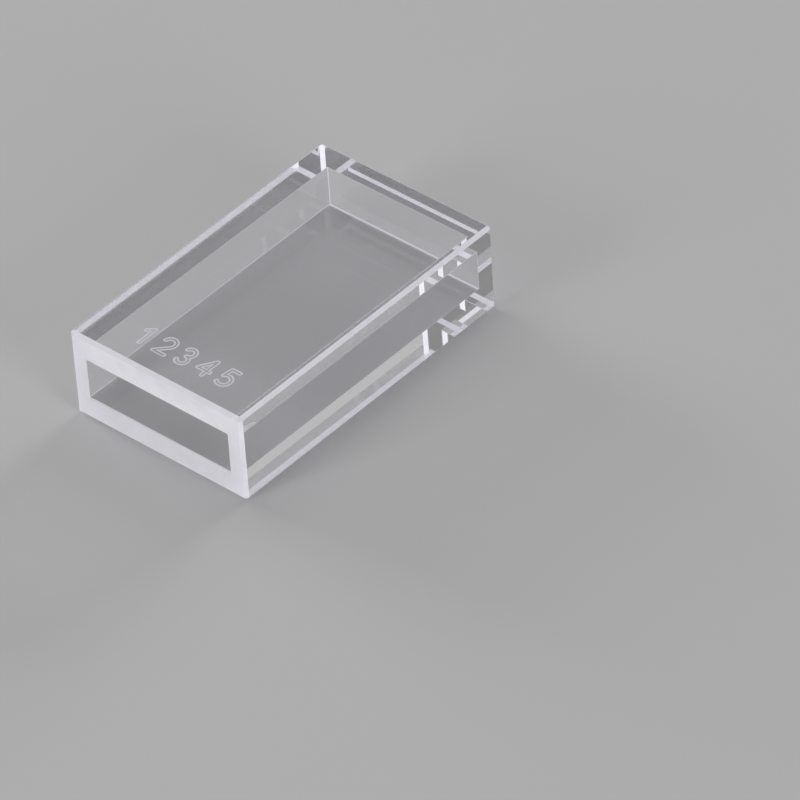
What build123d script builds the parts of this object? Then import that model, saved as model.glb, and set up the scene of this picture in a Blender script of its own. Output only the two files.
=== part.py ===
"""A rectangular glass cuvette, lying on one of its two wide windows.

The windows, the narrow side walls and the closed end are fused into one piece
of optical glass around a sharp-cornered rectangular cavity, which is open at
one end. Every outer edge is ground to a 45 degree chamfer, and the rim of the
cavity has a much finer one.

X runs across the width, Y from the open mouth to the closed end, and Z through
the two windows, up from the face that it lies on. The origin is at the centre
of that face. All lengths are in millimetres.
"""

import os

from build123d import *

# Outer block
overall_length = 45.0
overall_width = 27.0
overall_depth = 12.5

# Glass around the cavity
window_wall = 3.4
side_wall = 2.35
end_wall = 1.75

# Ground edges
edge_chamfer = 0.45
rim_chamfer = 0.15

# Cavity, left between the walls
cavity_width = overall_width - 2 * side_wall
cavity_depth = overall_depth - 2 * window_wall
cavity_length = overall_length - end_wall

# The plane of the open mouth, with its normal pointing out of the cavity
mouth_plane = Plane.XZ.offset(overall_length / 2)

with BuildPart() as cuvette_body:
    # Block of glass, from the mouth back to the closed end
    with BuildSketch(mouth_plane):
        Rectangle(overall_width, overall_depth, align=(Align.CENTER, Align.MIN))
    extrude(amount=-overall_length)

    # Chamfers on all twelve outer edges, which meet as small triangles at the corners
    chamfer(cuvette_body.edges(), length=edge_chamfer)

    # Cavity, sunk from the mouth and stopping at the end wall
    with BuildSketch(mouth_plane):
        with Locations((0, overall_depth / 2)):
            Rectangle(cavity_width, cavity_depth)
    extrude(amount=-cavity_length, mode=Mode.SUBTRACT)

    # Fine chamfer round the rim of the cavity
    mouth_face = cuvette_body.faces().sort_by(Axis.Y).first
    chamfer(mouth_face.inner_wires()[0].edges(), length=rim_chamfer)

cuvette_body.part.label = "cuvette_body"

os.makedirs("parts", exist_ok=True)
export_step(cuvette_body.part, "parts/cuvette_body.step")
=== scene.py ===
"""A glass cuvette lying on a pale studio floor, laid out as a Blender add-on.

The glass body is one closed surface: a chamfered block, a rectangular cavity that opens at one end, and
shallow numerals cut into the upper window. Its windows, sides and closed end are polished. Its mouth,
chamfers and numerals are ground matt, and so are the thin seams inside the cavity, where the walls are
fused. All lengths are in metres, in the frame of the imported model.
"""

import math

import bmesh
import bpy
import numpy as np
from mathutils import Matrix, Vector


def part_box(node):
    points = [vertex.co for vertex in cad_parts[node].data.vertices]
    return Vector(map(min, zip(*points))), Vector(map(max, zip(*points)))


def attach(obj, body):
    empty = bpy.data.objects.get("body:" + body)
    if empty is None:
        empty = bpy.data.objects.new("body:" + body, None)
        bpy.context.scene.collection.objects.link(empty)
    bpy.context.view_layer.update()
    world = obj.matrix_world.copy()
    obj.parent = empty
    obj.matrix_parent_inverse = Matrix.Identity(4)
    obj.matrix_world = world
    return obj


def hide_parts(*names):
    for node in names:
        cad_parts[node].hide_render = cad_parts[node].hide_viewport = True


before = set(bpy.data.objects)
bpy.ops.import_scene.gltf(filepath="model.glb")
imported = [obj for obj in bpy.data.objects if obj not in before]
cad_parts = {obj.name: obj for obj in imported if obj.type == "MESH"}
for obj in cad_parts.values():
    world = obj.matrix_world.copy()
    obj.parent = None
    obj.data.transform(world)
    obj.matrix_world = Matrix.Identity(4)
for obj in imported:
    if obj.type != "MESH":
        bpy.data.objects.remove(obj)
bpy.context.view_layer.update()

bl_info = {
    "name": "Glass Cuvette",
    "version": (1, 0, 0),
    "blender": (4, 5, 0),
    "location": "View3D > Sidebar > Cuvette",
    "description": "Builds a glass cuvette with ground edges and numerals, and the studio around it",
    "category": "Add Mesh",
}

MILLIMETRE = 0.001
MERGE_DISTANCE = 0.001 * MILLIMETRE
BODY_NODE = "cuvette_body"

# Places in the body's list of materials
POLISHED = 0
GROUND = 1
ENGRAVED = 2


def length_property(name, description, millimetres):
    """A length that a user can change, given in millimetres and kept in metres."""
    return bpy.props.FloatProperty(
        name=name,
        description=description,
        default=millimetres * MILLIMETRE,
        subtype="DISTANCE",
        unit="LENGTH",
        precision=5,
    )


def colour_property(name, description, colour):
    """A colour that a user can change."""
    return bpy.props.FloatVectorProperty(
        name=name, description=description, default=colour, subtype="COLOR", size=3, min=0, max=1
    )


def direction_property(name, description, direction):
    """A direction that a user can change."""
    return bpy.props.FloatVectorProperty(
        name=name, description=description, default=direction, subtype="DIRECTION", size=3
    )


def angle_property(name, description, degrees):
    """An angle that a user can change, given in degrees and kept in radians."""
    return bpy.props.FloatProperty(
        name=name, description=description, default=math.radians(degrees), subtype="ANGLE", unit="ROTATION"
    )


def number_property(name, description, number):
    """A plain number, not below zero, that a user can change."""
    return bpy.props.FloatProperty(name=name, description=description, default=number, min=0)


class GlassSettings(bpy.types.PropertyGroup):
    """Sizes and colours of the glass body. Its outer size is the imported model's."""

    window_wall: length_property("Window wall", "Thickness of each wide window", 3.4)
    side_wall: length_property("Side wall", "Thickness of each narrow side", 2.35)
    end_wall: length_property("End wall", "Thickness of the closed end", 1.75)
    edge_chamfer: length_property("Edge chamfer", "Set-back of the chamfer on every outer edge", 0.45)
    rim_chamfer: length_property("Rim chamfer", "Set-back of the fine chamfer round the mouth", 0.15)
    seam: length_property("Seam", "Width of the matt line where walls are fused, inside", 0.06)
    refractive_index: number_property("Refractive index", "Of fused quartz", 1.4585)
    glass_colour: colour_property("Glass colour", "Tint of the clear glass", (0.985, 0.985, 0.995))
    shade_colour: colour_property("Shade colour", "Lamp light that a clear face leaves", (0.76, 0.76, 0.77))
    ground_colour: colour_property("Ground colour", "Of the matt ground faces", (0.78, 0.765, 0.81))
    ground_translucency: number_property("Ground translucency", "Share of light let through", 0.5)
    ground_grain: length_property("Ground grain", "Size of the grain on the matt faces", 0.09)


class NumeralSettings(bpy.types.PropertyGroup):
    """The row of numerals in the upper window, each drawn as the outline of a round-ended stroke."""

    digits: bpy.props.StringProperty(name="Digits", description="Numerals from 1 to 5", default="12345")
    height: length_property("Height", "Of a digit's centre line, from foot to top", 2.85)
    pitch: length_property("Pitch", "From one digit to the next", 3.2)
    stroke: length_property("Stroke", "Across a digit's stroke, between its two outlines", 0.44)
    line: length_property("Line", "Width of the ground outline", 0.17)
    line_depth: length_property("Line depth", "Depth of the ground outline", 0.06)
    line_grain: length_property("Line grain", "Size of the grain in the ground outline", 0.05)
    centre_across: length_property("Centre across", "Middle of the row, across the width", 0.9)
    centre_along: length_property("Centre along", "Middle of the row, along the length", -17.7)


class StageSettings(bpy.types.PropertyGroup):
    """The floor, the lights and the camera."""

    floor_colour: colour_property("Floor colour", "Of the floor and its raised rim", (0.45, 0.45, 0.455))
    floor_gap: length_property("Floor gap", "Air between the floor and the lower window", 0.03)
    floor_radius: length_property("Floor radius", "Out to where the floor starts to rise", 2000)
    rim_radius: length_property("Rim radius", "Of the curve by which the floor rises", 700)
    dome_light: number_property("Dome light", "Brightness of the wide soft light overhead", 0.52)
    dome_middle: direction_property("Dome middle", "Towards the middle of that light", (-0.48, 0.48, 0.73))
    surround_light: number_property("Surround light", "Brightness of the room round it", 0.09)
    front_power: number_property("Front power", "Soft lamp before the mouth, in watts", 12.0)
    right_power: number_property("Right power", "Soft lamp beside the right wall, in watts", 11.0)
    back_power: number_property("Back power", "Soft lamp behind the closed end, in watts", 21.0)
    left_power: number_property("Left power", "Soft lamp beside the left wall, in watts", 24.0)
    azimuth: angle_property("Azimuth", "Camera's turn round the object, from looking along +Y", 43.353)
    elevation: angle_property("Elevation", "Camera's height over the horizon", 39.892)
    roll: angle_property("Roll", "Camera's turn about its own axis", -3.965)
    distance: length_property("Distance", "From the camera to the base, along its axis", 834.03)
    offset_right: length_property("Offset right", "Of the base from the picture's middle", -13.294)
    offset_up: length_property("Offset up", "Of the base from the picture's middle", 4.9)
    focal_length: number_property("Focal length", "Of the camera, in millimetres", 315.26)


class Signal:
    """One output in a tree of shader nodes. Arithmetic adds Math nodes, and node() adds any other kind."""

    def __init__(self, tree, socket=None):
        self.tree = tree
        self.socket = socket

    def node(self, kind, settings=None, inputs=None, output=0):
        """Adds a node, sets its settings, then its sockets' values or links, and gives one output."""
        made = self.tree.nodes.new(kind)
        for name, value in (settings or {}).items():
            setattr(made, name, value)
        for place, value in (inputs or {}).items():
            if isinstance(value, Signal):
                self.tree.links.new(value.socket, made.inputs[place])
            else:
                made.inputs[place].default_value = value
        return Signal(self.tree, made.outputs[output] if made.outputs else None)

    def math(self, operation, first, second):
        """A Math node on two values or signals."""
        return self.node("ShaderNodeMath", {"operation": operation}, {0: first, 1: second})

    def __add__(self, other):
        return self.math("ADD", self, other)

    def __radd__(self, other):
        return self.math("ADD", other, self)

    def __mul__(self, other):
        return self.math("MULTIPLY", self, other)

    def __rmul__(self, other):
        return self.math("MULTIPLY", other, self)


def object_place(material):
    """Clears a material's nodes and gives its Object coordinates, in metres."""
    material.use_nodes = True
    material.node_tree.nodes.clear()
    return Signal(material.node_tree).node("ShaderNodeTexCoord", output="Object")


def noise(place, grain, detail, roughness):
    """Noise with features about one grain across, from 0 to 1."""
    scale = (1 / grain, 1 / grain, 1 / grain)
    scaled = place.node("ShaderNodeMapping", inputs={"Vector": place, "Scale": scale})
    inputs = {"Vector": scaled, "Scale": 1.0, "Detail": detail, "Roughness": roughness}
    return place.node("ShaderNodeTexNoise", inputs=inputs)


def smooth_step(signal, low, high):
    """0 where the signal is below low, 1 above high, and smooth between them."""
    settings = {"interpolation_type": "SMOOTHSTEP"}
    inputs = {"Value": signal, "From Min": low, "From Max": high}
    return signal.node("ShaderNodeMapRange", settings, inputs)


def mixed_colour(factor, first, second):
    """A colour between two others, by a factor from 0 to 1."""
    inputs = {"Factor": factor, "A": (*first, 1), "B": (*second, 1)}
    return factor.node("ShaderNodeMix", {"data_type": "RGBA"}, inputs, output="Result")


def surface(shader):
    """Makes a shader the surface of its material."""
    shader.node("ShaderNodeOutputMaterial", inputs={"Surface": shader})


def polished_glass(glass):
    """Clear glass with an optical polish.

    The lamps' light goes straight through it, less what each face takes, so that what lies behind it is
    lit evenly. All that is seen in it or through it is reflected and bent as in real glass.
    """
    material = bpy.data.materials.new("polished_glass")
    place = object_place(material)
    clear = place.node("ShaderNodeBsdfPrincipled", inputs={
        "Base Color": (*glass.glass_colour, 1),
        "Roughness": 0.0,
        "IOR": glass.refractive_index,
        "Transmission Weight": 1.0,
    })
    let_through = place.node("ShaderNodeBsdfTransparent", inputs={"Color": (*glass.shade_colour, 1)})
    lamp_ray = place.node("ShaderNodeLightPath", output="Is Shadow Ray")
    surface(place.node("ShaderNodeMixShader", inputs={0: lamp_ray, 1: clear, 2: let_through}))
    return material


# The mottle of ground glass: its clouds' size in grains, their share of it beside the grain's, the levels
# between which it turns from dark to light, and how dark it gets
CLOUD_GRAINS = 20
CLOUD_SHARE = 0.6
MOTTLE_DARK = 0.35
MOTTLE_LIGHT = 0.65
DARKEST_SHARE = 0.9

# The finish of ground glass: its roughness at least and at most, its gloss, and its relief, with the depth
# in grains
SMOOTHEST = 0.6
ROUGHEST = 0.9
GROUND_GLOSS = 0.2
RELIEF_STRENGTH = 0.06
RELIEF_GRAINS = 0.3


def ground_glass(glass, name, grain):
    """Glass ground with loose abrasive: pale and matt, with a grain that scatters light both ways."""
    material = bpy.data.materials.new(name)
    place = object_place(material)
    fine = noise(place, grain, detail=4.0, roughness=0.7)
    cloud = noise(place, CLOUD_GRAINS * grain, detail=2.0, roughness=0.6)
    blotches = CLOUD_SHARE * cloud + (1 - CLOUD_SHARE) * fine
    mottle = smooth_step(blotches, MOTTLE_DARK, MOTTLE_LIGHT)
    darker = [DARKEST_SHARE * part for part in glass.ground_colour]
    relief = {"Strength": RELIEF_STRENGTH, "Distance": RELIEF_GRAINS * grain, "Height": fine}
    outward = place.node("ShaderNodeBsdfPrincipled", inputs={
        "Base Color": mixed_colour(mottle, darker, glass.ground_colour),
        "Roughness": SMOOTHEST + (ROUGHEST - SMOOTHEST) * fine,
        "Specular IOR Level": GROUND_GLOSS,
        "Normal": place.node("ShaderNodeBump", inputs=relief),
    })
    inward = place.node("ShaderNodeBsdfTranslucent", inputs={"Color": (*glass.ground_colour, 1)})
    both_ways = {0: glass.ground_translucency, 1: outward, 2: inward}
    surface(place.node("ShaderNodeMixShader", inputs=both_ways))
    return material


# Centre lines of the numerals, in shares of a digit's height: a line is its two ends, and an arc is its
# centre, radius, start and sweep, with angles in degrees and clockwise sweeps negative
DIGIT_SHARES = {
    "1": (
        ("line", 0.1, 0.78, 0.36, 1.0),
        ("line", 0.36, 1.0, 0.36, 0.0),
    ),
    "2": (
        ("arc", 0.31, 0.71, 0.29, 165, -205),
        ("line", 0.532, 0.524, 0.02, 0.0),
        ("line", 0.02, 0.0, 0.6, 0.0),
    ),
    "3": (
        ("arc", 0.28, 0.755, 0.245, 155, -245),
        ("arc", 0.28, 0.255, 0.255, 90, -245),
    ),
    "4": (
        ("line", 0.45, 0.0, 0.45, 1.0),
        ("line", 0.45, 1.0, 0.0, 0.3),
        ("line", 0.0, 0.3, 0.62, 0.3),
    ),
    "5": (
        ("line", 0.54, 1.0, 0.13, 1.0),
        ("line", 0.13, 1.0, 0.08, 0.53),
        ("arc", 0.28, 0.31, 0.31, 132, -270),
    ),
}
DIGIT_WIDTH_SHARE = 0.62

# Steps of the numerals' grid across one ground line
LINE_STEPS = 4


def line_distance(x, y, x0, y0, x1, y1):
    """Distance from each point to a straight stroke: to its nearest point, held between the two ends."""
    run_x, run_y = x1 - x0, y1 - y0
    share = ((x - x0) * run_x + (y - y0) * run_y) / (run_x**2 + run_y**2)
    share = np.clip(share, 0, 1)
    return np.hypot(x - x0 - share * run_x, y - y0 - share * run_y)


def arc_distance(x, y, centre_x, centre_y, radius, start, sweep):
    """Distance from each point to an arc: across its circle within the sweep, else to the nearer end."""
    turn = np.degrees(np.arctan2(y - centre_y, x - centre_x))
    within = np.mod((turn - start) * np.sign(sweep), 360) <= abs(sweep)
    across = np.abs(np.hypot(x - centre_x, y - centre_y) - radius)
    ends = np.radians([start, start + sweep])
    end_x = centre_x + radius * np.cos(ends)
    end_y = centre_y + radius * np.sin(ends)
    to_start = np.hypot(x - end_x[0], y - end_y[0])
    to_stop = np.hypot(x - end_x[1], y - end_y[1])
    return np.where(within, across, np.minimum(to_start, to_stop))


STROKE_DISTANCE = {"line": line_distance, "arc": arc_distance}


def row_width(numerals):
    """From the left of the first digit to the right of the last: a pitch for each but one, and its width."""
    return numerals.pitch * (len(numerals.digits) - 1) + DIGIT_WIDTH_SHARE * numerals.height


def digit_distance(x, y, numerals):
    """Distance from each point of the upper window to the nearest centre line of any digit, in metres."""
    start = numerals.centre_across - row_width(numerals) / 2
    foot = numerals.centre_along - numerals.height / 2
    nearest = np.full(x.shape, np.inf)
    for place, digit in enumerate(numerals.digits):
        across = (x - start - place * numerals.pitch) / numerals.height
        along = (y - foot) / numerals.height
        for kind, *shares in DIGIT_SHARES[digit]:
            share = STROKE_DISTANCE[kind](across, along, *shares)
            nearest = np.minimum(nearest, share * numerals.height)
    return nearest


def numeral_grid(numerals, upper):
    """The part of the upper window that holds the numerals, as a grid of points and the depth at each.

    The ground line runs at half a stroke from the centre lines. Across, it is a parabola: as deep as the
    line depth in its middle, and nothing at half a line to either side.
    """
    step = numerals.line / LINE_STEPS
    margin = numerals.stroke / 2 + numerals.line
    half_across = row_width(numerals) / 2 + margin
    half_along = numerals.height / 2 + margin
    across = numerals.centre_across + np.arange(-half_across, half_across, step)
    along = numerals.centre_along + np.arange(-half_along, half_along, step)
    x, y = np.meshgrid(across, along, indexing="ij")
    off_line = np.abs(digit_distance(x, y, numerals) - numerals.stroke / 2)
    depth = numerals.line_depth * np.clip(1 - (2 * off_line / numerals.line) ** 2, 0, None)
    return np.stack([x, y, upper - depth], axis=-1), depth


def shell_rings(glass, low, high):
    """Rings of a chamfered rectangle carried along the glass.

    The path starts at the closed end, runs outside to the mouth, turns over it and runs back along the
    cavity. A ring has eight points, two at each corner, and both are one point where no corner is cut.
    """
    chamfer, rim, seam = glass.edge_chamfer, glass.rim_chamfer, glass.seam
    half_width = (high[0] - low[0]) / 2
    half_depth = (high[2] - low[2]) / 2
    inner_width = half_width - glass.side_wall
    inner_depth = half_depth - glass.window_wall
    mouth, closed = low[1], high[1]
    inner_end = closed - glass.end_wall
    # Place along the length, half width, half depth and corner cut of each ring
    rings = np.array([
        [closed, half_width - chamfer, half_depth - chamfer, 0],
        [closed - chamfer, half_width, half_depth, chamfer],
        [mouth + chamfer, half_width, half_depth, chamfer],
        [mouth, half_width - chamfer, half_depth - chamfer, 0],
        [mouth, inner_width + rim, inner_depth + rim, 0],
        [mouth + rim, inner_width, inner_depth, seam],
        [inner_end - seam, inner_width, inner_depth, seam],
        [inner_end, inner_width - seam, inner_depth - seam, 0],
    ])
    along, wide, deep, cut = (column[:, None] for column in rings.T)
    # Signs of the eight points, from the upper left, and whether a cut moves each one across or down
    side = np.array([-1, 1, 1, 1, 1, -1, -1, -1])
    face = np.array([1, 1, 1, -1, -1, -1, -1, 1])
    moved_across = np.array([1, 1, 0, 0, 1, 1, 0, 0])
    x = (low[0] + high[0]) / 2 + side * (wide - cut * moved_across)
    z = (low[2] + high[2]) / 2 + face * (deep - cut * (1 - moved_across))
    return np.stack([x, np.broadcast_to(along, x.shape), z], axis=-1)


# Finish of the four sides between each ring and the next. The corner cuts between them are all ground
SIDE_FINISHES = (GROUND, POLISHED, GROUND, GROUND, GROUND, POLISHED, GROUND)


def body_faces(rings, depth):
    """Faces of the glass and their finishes, from the numbers of the points in the rings and numerals.

    Between rings they have four sides, and the first and last rings are closed by the end walls. The upper
    window is left out there. It has the cells of the numerals' grid, and four margins round them, each
    with two corners of the window and all the points along one side of the grid.
    """
    ring_count, point_count = rings.shape[:2]
    ring = np.arange(ring_count * point_count).reshape(ring_count, point_count)
    after = np.roll(ring, -1, axis=1)
    walls = np.stack([ring[:-1], after[:-1], after[1:], ring[1:]], axis=-1)
    finishes = np.full((ring_count - 1, point_count), GROUND)
    finishes[:, ::2] = np.array(SIDE_FINISHES)[:, None]
    # The upper window lies after the second ring, on its first side
    upper_window = (1, 0)
    left, right, mouth_right, mouth_left = walls[upper_window]
    kept = np.ones(finishes.shape, bool)
    kept[upper_window] = False

    grid = np.arange(depth.size).reshape(depth.shape) + ring.size
    margins = [
        [left, right, *grid[::-1, -1]],
        [right, mouth_right, *grid[-1, :]],
        [mouth_right, mouth_left, *grid[:, 0]],
        [mouth_left, left, *grid[0, ::-1]],
    ]
    cells = np.stack([grid[:-1, :-1], grid[1:, :-1], grid[1:, 1:], grid[:-1, 1:]], axis=-1)
    corner_depths = [depth[:-1, :-1], depth[1:, :-1], depth[1:, 1:], depth[:-1, 1:]]
    cut = np.maximum.reduce(corner_depths) > 0

    end_walls = [ring[0].tolist(), ring[-1].tolist()]
    faces = walls[kept].tolist() + end_walls
    faces += [[int(point) for point in margin] for margin in margins]
    faces += cells.reshape(-1, 4).tolist()
    plain = np.full(len(end_walls) + len(margins), POLISHED)
    slots = np.concatenate([finishes[kept], plain, np.where(cut, ENGRAVED, POLISHED).ravel()])
    return faces, slots


def merge_points(mesh, outwards):
    """Merges the points of a mesh that coincide. If asked to, turns all faces of a closed mesh outwards."""
    shape = bmesh.new()
    shape.from_mesh(mesh)
    bmesh.ops.remove_doubles(shape, verts=shape.verts, dist=MERGE_DISTANCE)
    if outwards:
        bmesh.ops.recalc_face_normals(shape, faces=shape.faces)
    shape.to_mesh(mesh)
    shape.free()


def add_object(name, data):
    """A new object at the origin, in the scene."""
    made = bpy.data.objects.new(name, data)
    bpy.context.scene.collection.objects.link(made)
    return made


class CUVETTE_OT_glass_body(bpy.types.Operator):
    """Builds the glass body with its cavity, ground edges and numerals"""

    bl_idname = "cuvette.glass_body"
    bl_label = "Glass body"

    def execute(self, context):
        glass = context.scene.cuvette_glass
        numerals = context.scene.cuvette_numerals
        low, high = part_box(BODY_NODE)
        rings = shell_rings(glass, low, high)
        grid, depth = numeral_grid(numerals, high[2])
        faces, slots = body_faces(rings, depth)
        points = np.concatenate([rings.reshape(-1, 3), grid.reshape(-1, 3)])
        mesh = bpy.data.meshes.new("glass_body")
        mesh.from_pydata(points, [], faces)
        mesh.polygons.foreach_set("material_index", slots.astype(np.int32))
        merge_points(mesh, outwards=True)
        mesh.materials.append(polished_glass(glass))
        mesh.materials.append(ground_glass(glass, "ground_glass", glass.ground_grain))
        mesh.materials.append(ground_glass(glass, "engraved_glass", numerals.line_grain))
        body = add_object("glass_body", mesh)
        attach(body, "root")
        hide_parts(BODY_NODE)
        return {"FINISHED"}


# Steps of the floor's curve, and of the turn that it is carried round
RISE_STEPS = 24
TURN_STEPS = 96
FLOOR_ROUGHNESS = 0.9

# Cosines of the angle to the dome's middle at which its light has faded away, and at which it is full
DOME_FADED = 0.1
DOME_FULL = 0.9

# Side of each lamp, and where it stands
LAMP_SIDE = 0.6
FRONT_PLACE = (-0.3, -1.45, 0.68)
RIGHT_PLACE = (1.5, -0.35, 0.5)
BACK_PLACE = (-0.05, 1.6, 0.3)
LEFT_PLACE = (-1.6, 0.05, 0.3)

# Width of the camera's sensor in millimetres, and how many times nearer and further than the object it sees
SENSOR_WIDTH = 36
CAMERA_REACH = 100

# Light is led a long way inside the walls, by many reflections
LIGHT_BOUNCES = 40
GLASS_BOUNCES = 32


def studio_floor(stage):
    """A round floor that rises in a quarter circle at its edge.

    The profile is a straight run out from the middle and then the quarter circle, and it is carried round
    a full turn.
    """
    rise = np.linspace(0, math.pi / 2, RISE_STEPS)
    radius = np.concatenate([[0], stage.floor_radius + stage.rim_radius * np.sin(rise)])
    height = np.concatenate([[0], stage.rim_radius * (1 - np.cos(rise))]) - stage.floor_gap
    turn = np.linspace(0, 2 * math.pi, TURN_STEPS, endpoint=False)
    x = radius[:, None] * np.cos(turn)
    y = radius[:, None] * np.sin(turn)
    z = np.broadcast_to(height[:, None], x.shape)
    points = np.stack([x, y, z], axis=-1)
    number = np.arange(x.size).reshape(x.shape)
    after = np.roll(number, -1, axis=1)
    faces = np.stack([number[:-1], number[1:], after[1:], after[:-1]], axis=-1)
    mesh = bpy.data.meshes.new("studio_floor")
    mesh.from_pydata(points.reshape(-1, 3), [], faces.reshape(-1, 4).tolist())
    merge_points(mesh, outwards=False)
    material = bpy.data.materials.new("pale_floor")
    paint = {"Base Color": (*stage.floor_colour, 1), "Roughness": FLOOR_ROUGHNESS}
    surface(object_place(material).node("ShaderNodeBsdfPrincipled", inputs=paint))
    mesh.materials.append(material)
    return mesh


def studio_world(stage):
    """Light from all round: a wide soft light, high behind the left side, that fades into a darker room.

    Its strength follows the cosine between a direction and the middle of the light.
    """
    world = bpy.data.worlds.new("studio")
    world.use_nodes = True
    world.node_tree.nodes.clear()
    # Unlike the lamps' light, this reaches a face behind the glass only by bent rays, and not twice
    world.cycles.sampling_method = "NONE"
    direction = Signal(world.node_tree).node("ShaderNodeTexCoord", output="Generated")
    ends = {0: direction, 1: stage.dome_middle}
    cosine = direction.node("ShaderNodeVectorMath", {"operation": "DOT_PRODUCT"}, ends, output="Value")
    dome_share = smooth_step(cosine, DOME_FADED, DOME_FULL)
    strength = stage.surround_light + (stage.dome_light - stage.surround_light) * dome_share
    light = cosine.node("ShaderNodeBackground", inputs={"Color": (1, 1, 1, 1), "Strength": strength})
    light.node("ShaderNodeOutputWorld", inputs={"Surface": light})
    return world


def soft_lamp(name, place, power):
    """A square lamp that faces the origin.

    Its light goes straight through polished faces, so the rays that those reflect or bend don't see it,
    and nothing is lit twice.
    """
    lamp = bpy.data.lights.new(name, "AREA")
    lamp.size = LAMP_SIDE
    lamp.energy = power
    made = add_object(name, lamp)
    made.visible_glossy = False
    made.visible_transmission = False
    made.location = place
    made.rotation_euler = (-Vector(place)).to_track_quat("-Z", "Y").to_euler()


def studio_camera(stage):
    """A camera on a line from the object's base, turned and shifted as the angles and offsets say."""
    turn, rise, roll = stage.azimuth, stage.elevation, stage.roll
    back = Vector((math.sin(turn) * math.cos(rise), -math.cos(turn) * math.cos(rise), math.sin(rise)))
    level = Vector((math.cos(turn), math.sin(turn), 0))
    upright = back.cross(level)
    right = level * math.cos(roll) + upright * math.sin(roll)
    up = upright * math.cos(roll) - level * math.sin(roll)
    lens = bpy.data.cameras.new("camera")
    lens.sensor_width = SENSOR_WIDTH
    lens.lens = stage.focal_length
    lens.clip_start = stage.distance / CAMERA_REACH
    lens.clip_end = stage.distance * CAMERA_REACH
    camera = add_object("camera", lens)
    camera.location = stage.distance * back - stage.offset_right * right - stage.offset_up * up
    camera.rotation_euler = Matrix((right, up, back)).transposed().to_euler()
    return camera


class CUVETTE_OT_stage(bpy.types.Operator):
    """Builds the pale floor, the soft lights and the camera"""

    bl_idname = "cuvette.stage"
    bl_label = "Stage"

    def execute(self, context):
        scene = context.scene
        stage = scene.cuvette_stage
        add_object("studio_floor", studio_floor(stage))
        scene.world = studio_world(stage)
        soft_lamp("front_lamp", FRONT_PLACE, stage.front_power)
        soft_lamp("right_lamp", RIGHT_PLACE, stage.right_power)
        soft_lamp("back_lamp", BACK_PLACE, stage.back_power)
        soft_lamp("left_lamp", LEFT_PLACE, stage.left_power)
        scene.camera = studio_camera(stage)
        scene.view_settings.view_transform = "Standard"
        scene.cycles.max_bounces = LIGHT_BOUNCES
        scene.cycles.transmission_bounces = GLASS_BOUNCES
        scene.cycles.glossy_bounces = GLASS_BOUNCES
        scene.cycles.blur_glossy = 0
        return {"FINISHED"}


class CUVETTE_PT_panel(bpy.types.Panel):
    """Lists the settings and the steps"""

    bl_idname = "CUVETTE_PT_panel"
    bl_label = "Glass Cuvette"
    bl_space_type = "VIEW_3D"
    bl_region_type = "UI"
    bl_category = "Cuvette"

    def draw(self, context):
        for operator, groups in STEPS:
            self.layout.operator(operator)
            for name in groups:
                settings = getattr(context.scene, name)
                for key in settings.__annotations__:
                    self.layout.prop(settings, key)


# Each operator with the settings that it uses
STEPS = (
    ("cuvette.glass_body", ("cuvette_glass", "cuvette_numerals")),
    ("cuvette.stage", ("cuvette_stage",)),
)
SETTINGS = {
    "cuvette_glass": GlassSettings,
    "cuvette_numerals": NumeralSettings,
    "cuvette_stage": StageSettings,
}
CLASSES = (*SETTINGS.values(), CUVETTE_OT_glass_body, CUVETTE_OT_stage, CUVETTE_PT_panel)


def register():
    """Registers the classes and hangs the settings on the scene."""
    for listed in CLASSES:
        bpy.utils.register_class(listed)
    for name, group in SETTINGS.items():
        setattr(bpy.types.Scene, name, bpy.props.PointerProperty(type=group))


def unregister():
    """Undoes what register does, in the opposite order."""
    for name in SETTINGS:
        delattr(bpy.types.Scene, name)
    for listed in reversed(CLASSES):
        bpy.utils.unregister_class(listed)


def main():
    """Builds the body and the stage."""
    register()
    bpy.ops.cuvette.glass_body()
    bpy.ops.cuvette.stage()


if __name__ == "__main__":
    main()
